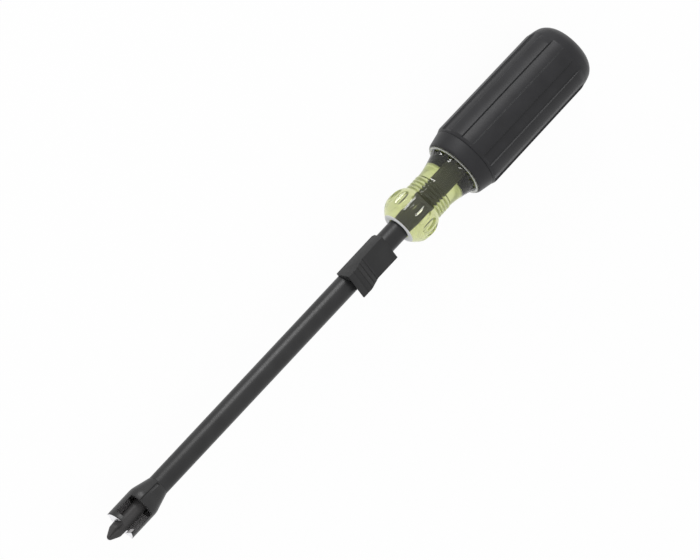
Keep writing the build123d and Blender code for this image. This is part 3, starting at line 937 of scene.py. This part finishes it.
def makeHead():
    h = head
    front = headFrontX
    piece = turned("cageHead", headOutline(), evenAngles(h["segments"]), closed=True, originX=front)
    over = h["radius"] * h["cutReach"] * mm
    rim = front - h["rim"] * mm
    half = h["windowWidth"] / 2 * mm
    narrow = h["boreRadius"] * mm
    # the side window, the far half's setback and the slot that a screw's shank passes
    combine(piece, blockTool((rim - h["windowLength"] * mm, -half, 0), (rim, half, over), h["windowLean"]))
    combine(piece, blockTool((front - h["lowerSetback"] * mm, -over, -over), (front + over, over, 0),
                             h["windowLean"]))
    combine(piece, blockTool((rim - h["rim"] * mm, -narrow, 0), (front + over, narrow, over), h["slotLean"]))
    cutSeam(piece)
    roundEdges(piece, h["edge"], 3, h["edgeAngle"])
    smoothShade(piece, degrees=35)
    dress(piece, "cageBlack", "holder", "black_finish", "cage_head")


makeHead()


# thumb slide, a saddle on the barrel

slide = {
    "length": 23.4, "width": 12.2, "cheekDepth": 1.6, "heelChamfer": 1.0,
    "lowHeight": 5.3, "rise": 2.6, "rampStart": 12.2, "rampLength": 6.0,
    "frontLip": 0.6, "undercutAngle": 21.0, "cheekWall": 2.6,
    "ribs": 4, "ribPitch": 2.4, "ribDepth": 0.3, "ribWidth": 1.2, "ribFirst": 13.1, "ribReach": 1.2,
    "boreRadius": 4.76, "overrun": 2.0, "bodyEdge": 0.25, "bodyAngle": 20, "cutEdge": 0.08, "cutAngle": 40,
}


def slideBody():
    s = slide
    line = [
        (s["heelChamfer"], -s["cheekDepth"]),
        (s["length"], -s["cheekDepth"]),
        (s["length"], s["lowHeight"] + s["rise"]),
        (s["rampStart"] + s["rampLength"], s["lowHeight"] + s["rise"]),
        (s["rampStart"], s["lowHeight"]),
        (0, s["lowHeight"]),
        (0, -s["cheekDepth"] + s["heelChamfer"]),
    ]
    return crosswise("thumbSlide", line, -s["width"] / 2, s["width"] / 2)


def undercutTool():
    # a wedge that leans the front end back below its lip, past the whole cheek on one side
    s = slide
    top = s["lowHeight"] + s["rise"] - s["frontLip"]
    low = -s["cheekDepth"] - s["overrun"]
    depth = (top - low) * math.tan(math.radians(s["undercutAngle"]))
    end = s["length"]
    line = [(end, top), (end + s["overrun"], top), (end + s["overrun"], low), (end - depth, low)]
    return crosswise("tool", line, s["cheekWall"] - s["width"] / 2, s["width"])


def ribNodes():
    # shallow grooves across the ramp and the top, one for each point of a line
    s = slide
    nodes = NodeTree("slideRibs")
    count = nodes.input("Rib Count", s["ribs"], "NodeSocketInt")
    first = nodes.input("First Rib", s["ribFirst"] * mm)
    pitch = nodes.input("Pitch", s["ribPitch"] * mm)
    depth = nodes.input("Depth", s["ribDepth"] * mm)
    across = nodes.input("Rib Width", s["ribWidth"] * mm)
    start = nodes.input("Ramp Start", s["rampStart"] * mm)
    run = nodes.input("Ramp Length", s["rampLength"] * mm)
    rise = nodes.input("Rise", s["rise"] * mm)
    low = nodes.input("Low Height", s["lowHeight"] * mm)
    width = nodes.input("Width", s["width"] * s["ribReach"] * mm)
    rear = nodes.input("Slide Rear", slideRearX)
    index = nodes.result("GeometryNodeInputIndex", {})
    along = nodes.math("ADD", first, nodes.math("MULTIPLY", index, pitch))
    share = nodes.math("DIVIDE", nodes.math("SUBTRACT", along, start), run)
    share = nodes.math("MINIMUM", nodes.math("MAXIMUM", share, 0.0), 1.0)
    height = nodes.math("ADD", low, nodes.math("MULTIPLY", rise, share))
    place = nodes.result("ShaderNodeCombineXYZ", {0: nodes.math("ADD", rear, along), 2: height})
    line = nodes.result("GeometryNodeMeshLine", {"Count": count})
    line = nodes.result("GeometryNodeSetPosition", {"Geometry": line, "Position": place})
    tooth = nodes.result("GeometryNodeMeshCube", {"Size": (math.sqrt(0.5), 1, math.sqrt(0.5))})
    tooth = nodes.result("GeometryNodeTransform", {"Geometry": tooth, "Rotation": (0, math.pi / 4, 0)})
    size = nodes.result("ShaderNodeCombineXYZ", {0: across, 1: width, 2: nodes.math("MULTIPLY", depth, 2.0)})
    tooth = nodes.result("GeometryNodeTransform", {"Geometry": tooth, "Scale": size})
    teeth = nodes.result("GeometryNodeInstanceOnPoints", {"Points": line, "Instance": tooth})
    teeth = nodes.result("GeometryNodeRealizeInstances", {"Geometry": teeth})
    meshes = {"Mesh 1": nodes.start.outputs["Geometry"], "Mesh 2": teeth}
    return nodes, nodes.result("GeometryNodeMeshBoolean", meshes, operation="DIFFERENCE", solver="EXACT")


def makeSlide():
    s = slide
    piece = slideBody()
    roundEdges(piece, s["bodyEdge"], 3, s["bodyAngle"])
    combine(piece, undercutTool())
    nodes, ribbed = ribNodes()
    nodes.run(piece, ribbed, "slideBlack")
    combine(piece, rodTool(slideRearX - s["overrun"] * mm, slideRearX + (s["length"] + s["overrun"]) * mm,
                           s["boreRadius"] * mm))
    roundEdges(piece, s["cutEdge"], 2, s["cutAngle"])
    smoothShade(piece, degrees=30)
    dress(piece, "slideBlack", "holder", "black_finish", "thumb_slide")


makeSlide()


# return spring, wound along the shaft

spring = {"radius": 3.7125, "wire": 0.6, "turns": 13, "travel": 12.5, "around": 10, "perTurn": 40}


def springNodes():
    s = spring
    nodes = NodeTree("springWire")
    turns = nodes.input("Turns", float(s["turns"]))
    radius = nodes.input("Coil Radius", s["radius"] * mm)
    wire = nodes.input("Wire Radius", s["wire"] / 2 * mm)
    start = nodes.input("Start", springLow.x + s["wire"] / 2 * mm)
    length = nodes.input("Length", springHigh.x - springLow.x - s["wire"] * mm)
    coil = nodes.result("GeometryNodeCurveSpiral", {
        "Resolution": s["perTurn"], "Rotations": turns, "Start Radius": radius, "End Radius": radius,
        "Height": length,
    })
    place = nodes.result("ShaderNodeCombineXYZ", {0: start})
    laid = {"Geometry": coil, "Rotation": (0, math.pi / 2, 0), "Translation": place}
    path = nodes.result("GeometryNodeTransform", laid)
    ring = nodes.result("GeometryNodeCurvePrimitiveCircle", {"Resolution": s["around"], "Radius": wire})
    curves = {"Curve": path, "Profile Curve": ring, "Fill Caps": True}
    return nodes, nodes.result("GeometryNodeCurveToMesh", curves)


def makeSpring():
    piece = meshObject("returnSpring", [], [])
    nodes, wound = springNodes()
    nodes.run(piece, wound, "springSteel")
    smoothShade(piece, degrees=60)
    dress(piece, "springSteel", "handle", "spring_steel", "return_spring")
    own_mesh(piece)


makeSpring()


# the small inner pieces keep their own shapes and take a finish

smallPieces = {
    "platedSteel": ("stop_washer", "front_spring_washer", "rear_spring_washer", "spring_collar"),
    "springSteel": ("guide_pin", "collar_clip"),
    "bushingBrass": ("front_bushing", "rear_bushing", "spring_seat"),
    "slideBlack": ("slide_rivets",),
    "blackOxide": ("head_pins",),
}
for lookName, nodeNames in smallPieces.items():
    for nodeName in nodeNames:
        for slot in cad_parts[nodeName].material_slots:
            slot.material = looks[lookName]
print("small pieces finished")


# floor, world, light and camera

stage = {"floorSize": 6.0, "floorGap": 0.05, "floorTone": 0.9, "floorGlow": 0.96, "ambient": 0.8}
keyLight = {
    "direction": (-0.3, -0.945, 0.13), "distance": 1.1, "width": 0.9, "height": 0.28, "power": 8.5,
    "target": (-0.15, 0, 0),
}
view = {
    "target": (-0.15283, -0.000144, -0.000081), "frameWidth": 0.2891, "lens": 1300.0, "sensor": 36.0,
    "towards": (0.3007, -0.4682, 0.8309), "up": (-0.6962, -0.7032, -0.1442), "clip": (0.5, 200),
}


def seenDirectly(tree):
    # 1 for camera, mirror and glass rays, so that they all meet the same white
    path = tree.nodes.new("ShaderNodeLightPath")
    either = path.outputs["Is Camera Ray"]
    for name in ("Is Glossy Ray", "Is Transmission Ray"):
        either = joined(tree, "MAXIMUM", either, path.outputs[name])
    return either


def makeFloor():
    half = stage["floorSize"] / 2
    z = cadLow.z - stage["floorGap"] * mm
    middle = (cadLow.x + cadHigh.x) / 2
    corners = [(middle + x, y, z) for x, y in ((-half, -half), (half, -half), (half, half), (-half, half))]
    floor = meshObject("floor", corners, [(0, 1, 2, 3)])
    material = bpy.data.materials.new("paleFloor")
    material.use_nodes = True
    tree = material.node_tree
    tree.nodes.clear()
    matt = tree.nodes.new("ShaderNodeBsdfDiffuse")
    matt.inputs["Color"].default_value = (*[stage["floorTone"]] * 3, 1)
    glow = tree.nodes.new("ShaderNodeEmission")
    share = joined(tree, "MULTIPLY", seenDirectly(tree), stage["floorGlow"])
    output = tree.nodes.new("ShaderNodeOutputMaterial")
    tree.links.new(mixedShader(tree, share, matt, glow).outputs[0], output.inputs["Surface"])
    floor.data.materials.append(material)


def makeWorld():
    world = bpy.data.worlds.new("studio")
    scene.world = world
    world.use_nodes = True
    tree = world.node_tree
    tree.nodes.clear()
    skies = []
    for strength in (stage["ambient"], 1.0):
        sky = tree.nodes.new("ShaderNodeBackground")
        sky.inputs["Color"].default_value = (1, 1, 1, 1)
        sky.inputs["Strength"].default_value = strength
        skies.append(sky)
    output = tree.nodes.new("ShaderNodeOutputWorld")
    tree.links.new(mixedShader(tree, seenDirectly(tree), *skies).outputs[0], output.inputs["Surface"])


def makeLight():
    k = keyLight
    lamp = bpy.data.lights.new("keyLight", "AREA")
    lamp.shape = "RECTANGLE"
    lamp.size, lamp.size_y = k["width"], k["height"]
    lamp.energy = k["power"]
    box = bpy.data.objects.new("keyLight", lamp)
    scene.collection.objects.link(box)
    away = Vector(k["direction"]).normalized()
    box.location = Vector(k["target"]) + away * k["distance"]
    box.rotation_euler = away.to_track_quat("Z", "X").to_euler()
    box.visible_camera = False


def makeCamera():
    lens = bpy.data.cameras.new("camera")
    lens.lens = view["lens"]
    lens.sensor_width = view["sensor"]
    lens.clip_start, lens.clip_end = view["clip"]
    camera = bpy.data.objects.new("camera", lens)
    scene.collection.objects.link(camera)
    back = Vector(view["towards"]).normalized()
    up = Vector(view["up"])
    up = (up - back * up.dot(back)).normalized()
    right = up.cross(back)
    distance = view["frameWidth"] * lens.lens / lens.sensor_width
    spot = Vector(view["target"]) + back * distance
    camera.matrix_world = Matrix((
        (right.x, up.x, back.x, spot.x), (right.y, up.y, back.y, spot.y), (right.z, up.z, back.z, spot.z),
        (0, 0, 0, 1),
    ))
    scene.camera = camera


makeFloor()
makeWorld()
makeLight()
makeCamera()
scene.view_settings.view_transform = "Standard"
print("stage ready")
